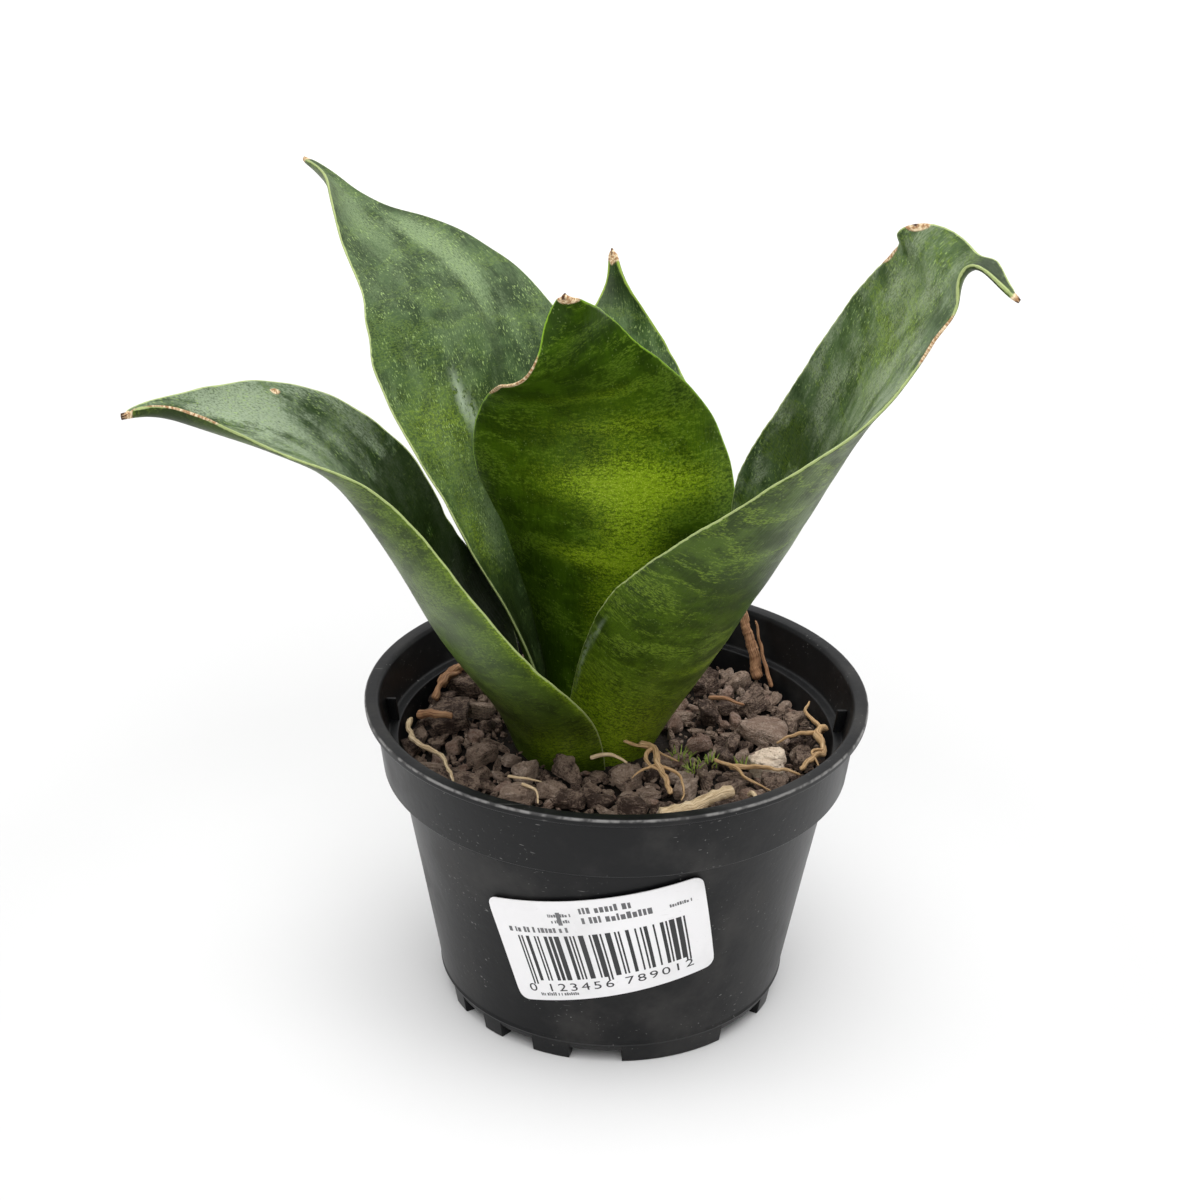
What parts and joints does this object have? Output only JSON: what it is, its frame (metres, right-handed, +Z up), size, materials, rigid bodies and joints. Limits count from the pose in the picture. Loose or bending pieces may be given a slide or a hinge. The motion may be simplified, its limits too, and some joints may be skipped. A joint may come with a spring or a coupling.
{
  "type": "potted snake plant",
  "caption": "Young snake plant with broad cupped leaves in a round tapered nursery pot with a banded rim, castellated foot ring, bark mulch and a curved price label.",
  "frame": {"origin": "bottom centre of the whole plant's box, on the surface that the pot stands on; the pot's axis is at x = 0.0151, y = 0.0057", "axes": "+Z up along the pot's axis; -Y is the front, the side with the label; +X is to the right seen from the front"},
  "size_m": [0.1634, 0.1528, 0.1969],
  "materials": {
    "pot_plastic": "satin",
    "label_paper": "semi-gloss",
    "medium_mix": "rough",
    "rhizome_skin": "satin",
    "leaf_flesh": "waxy",
    "bark": "rough",
    "pebble_stone": "rough",
    "straw": "dry",
    "dry_root": "dry",
    "stick": "dry"
  },
  "bodies": {
    "root": {"pot": "pot_plastic", "label": "label_paper", "growing_medium": "medium_mix", "rhizome": "rhizome_skin", "leaf_outer_left": "leaf_flesh", "leaf_outer_right": "leaf_flesh", "leaf_back_left": "leaf_flesh", "leaf_front": "leaf_flesh", "leaf_centre": "leaf_flesh", "bark_chip_01": "bark", "bark_chip_02": "bark", "bark_chip_03": "bark", "bark_chip_04": "bark", "bark_chip_05": "bark", "bark_chip_06": "bark", "bark_chip_07": "bark", "bark_chip_08": "bark", "bark_chip_09": "bark", "bark_chip_10": "bark", "bark_chip_11": "bark", "bark_chip_12": "bark", "bark_chip_13": "bark", "bark_chip_14": "bark", "bark_chip_15": "bark", "bark_chip_16": "bark", "bark_chip_17": "bark", "bark_chip_18": "bark", "bark_chip_19": "bark", "bark_chip_20": "bark", "bark_chip_21": "bark", "bark_chip_22": "bark", "bark_chip_23": "bark", "bark_chip_24": "bark", "bark_chip_25": "bark", "bark_chip_26": "bark", "pebble": "pebble_stone", "straw_front": "straw", "straw_front_short": "straw", "root_front": "dry_root", "root_right": "dry_root", "stick_back_right": "stick", "straw_left_rim": "straw"}
  },
  "joints": []
}
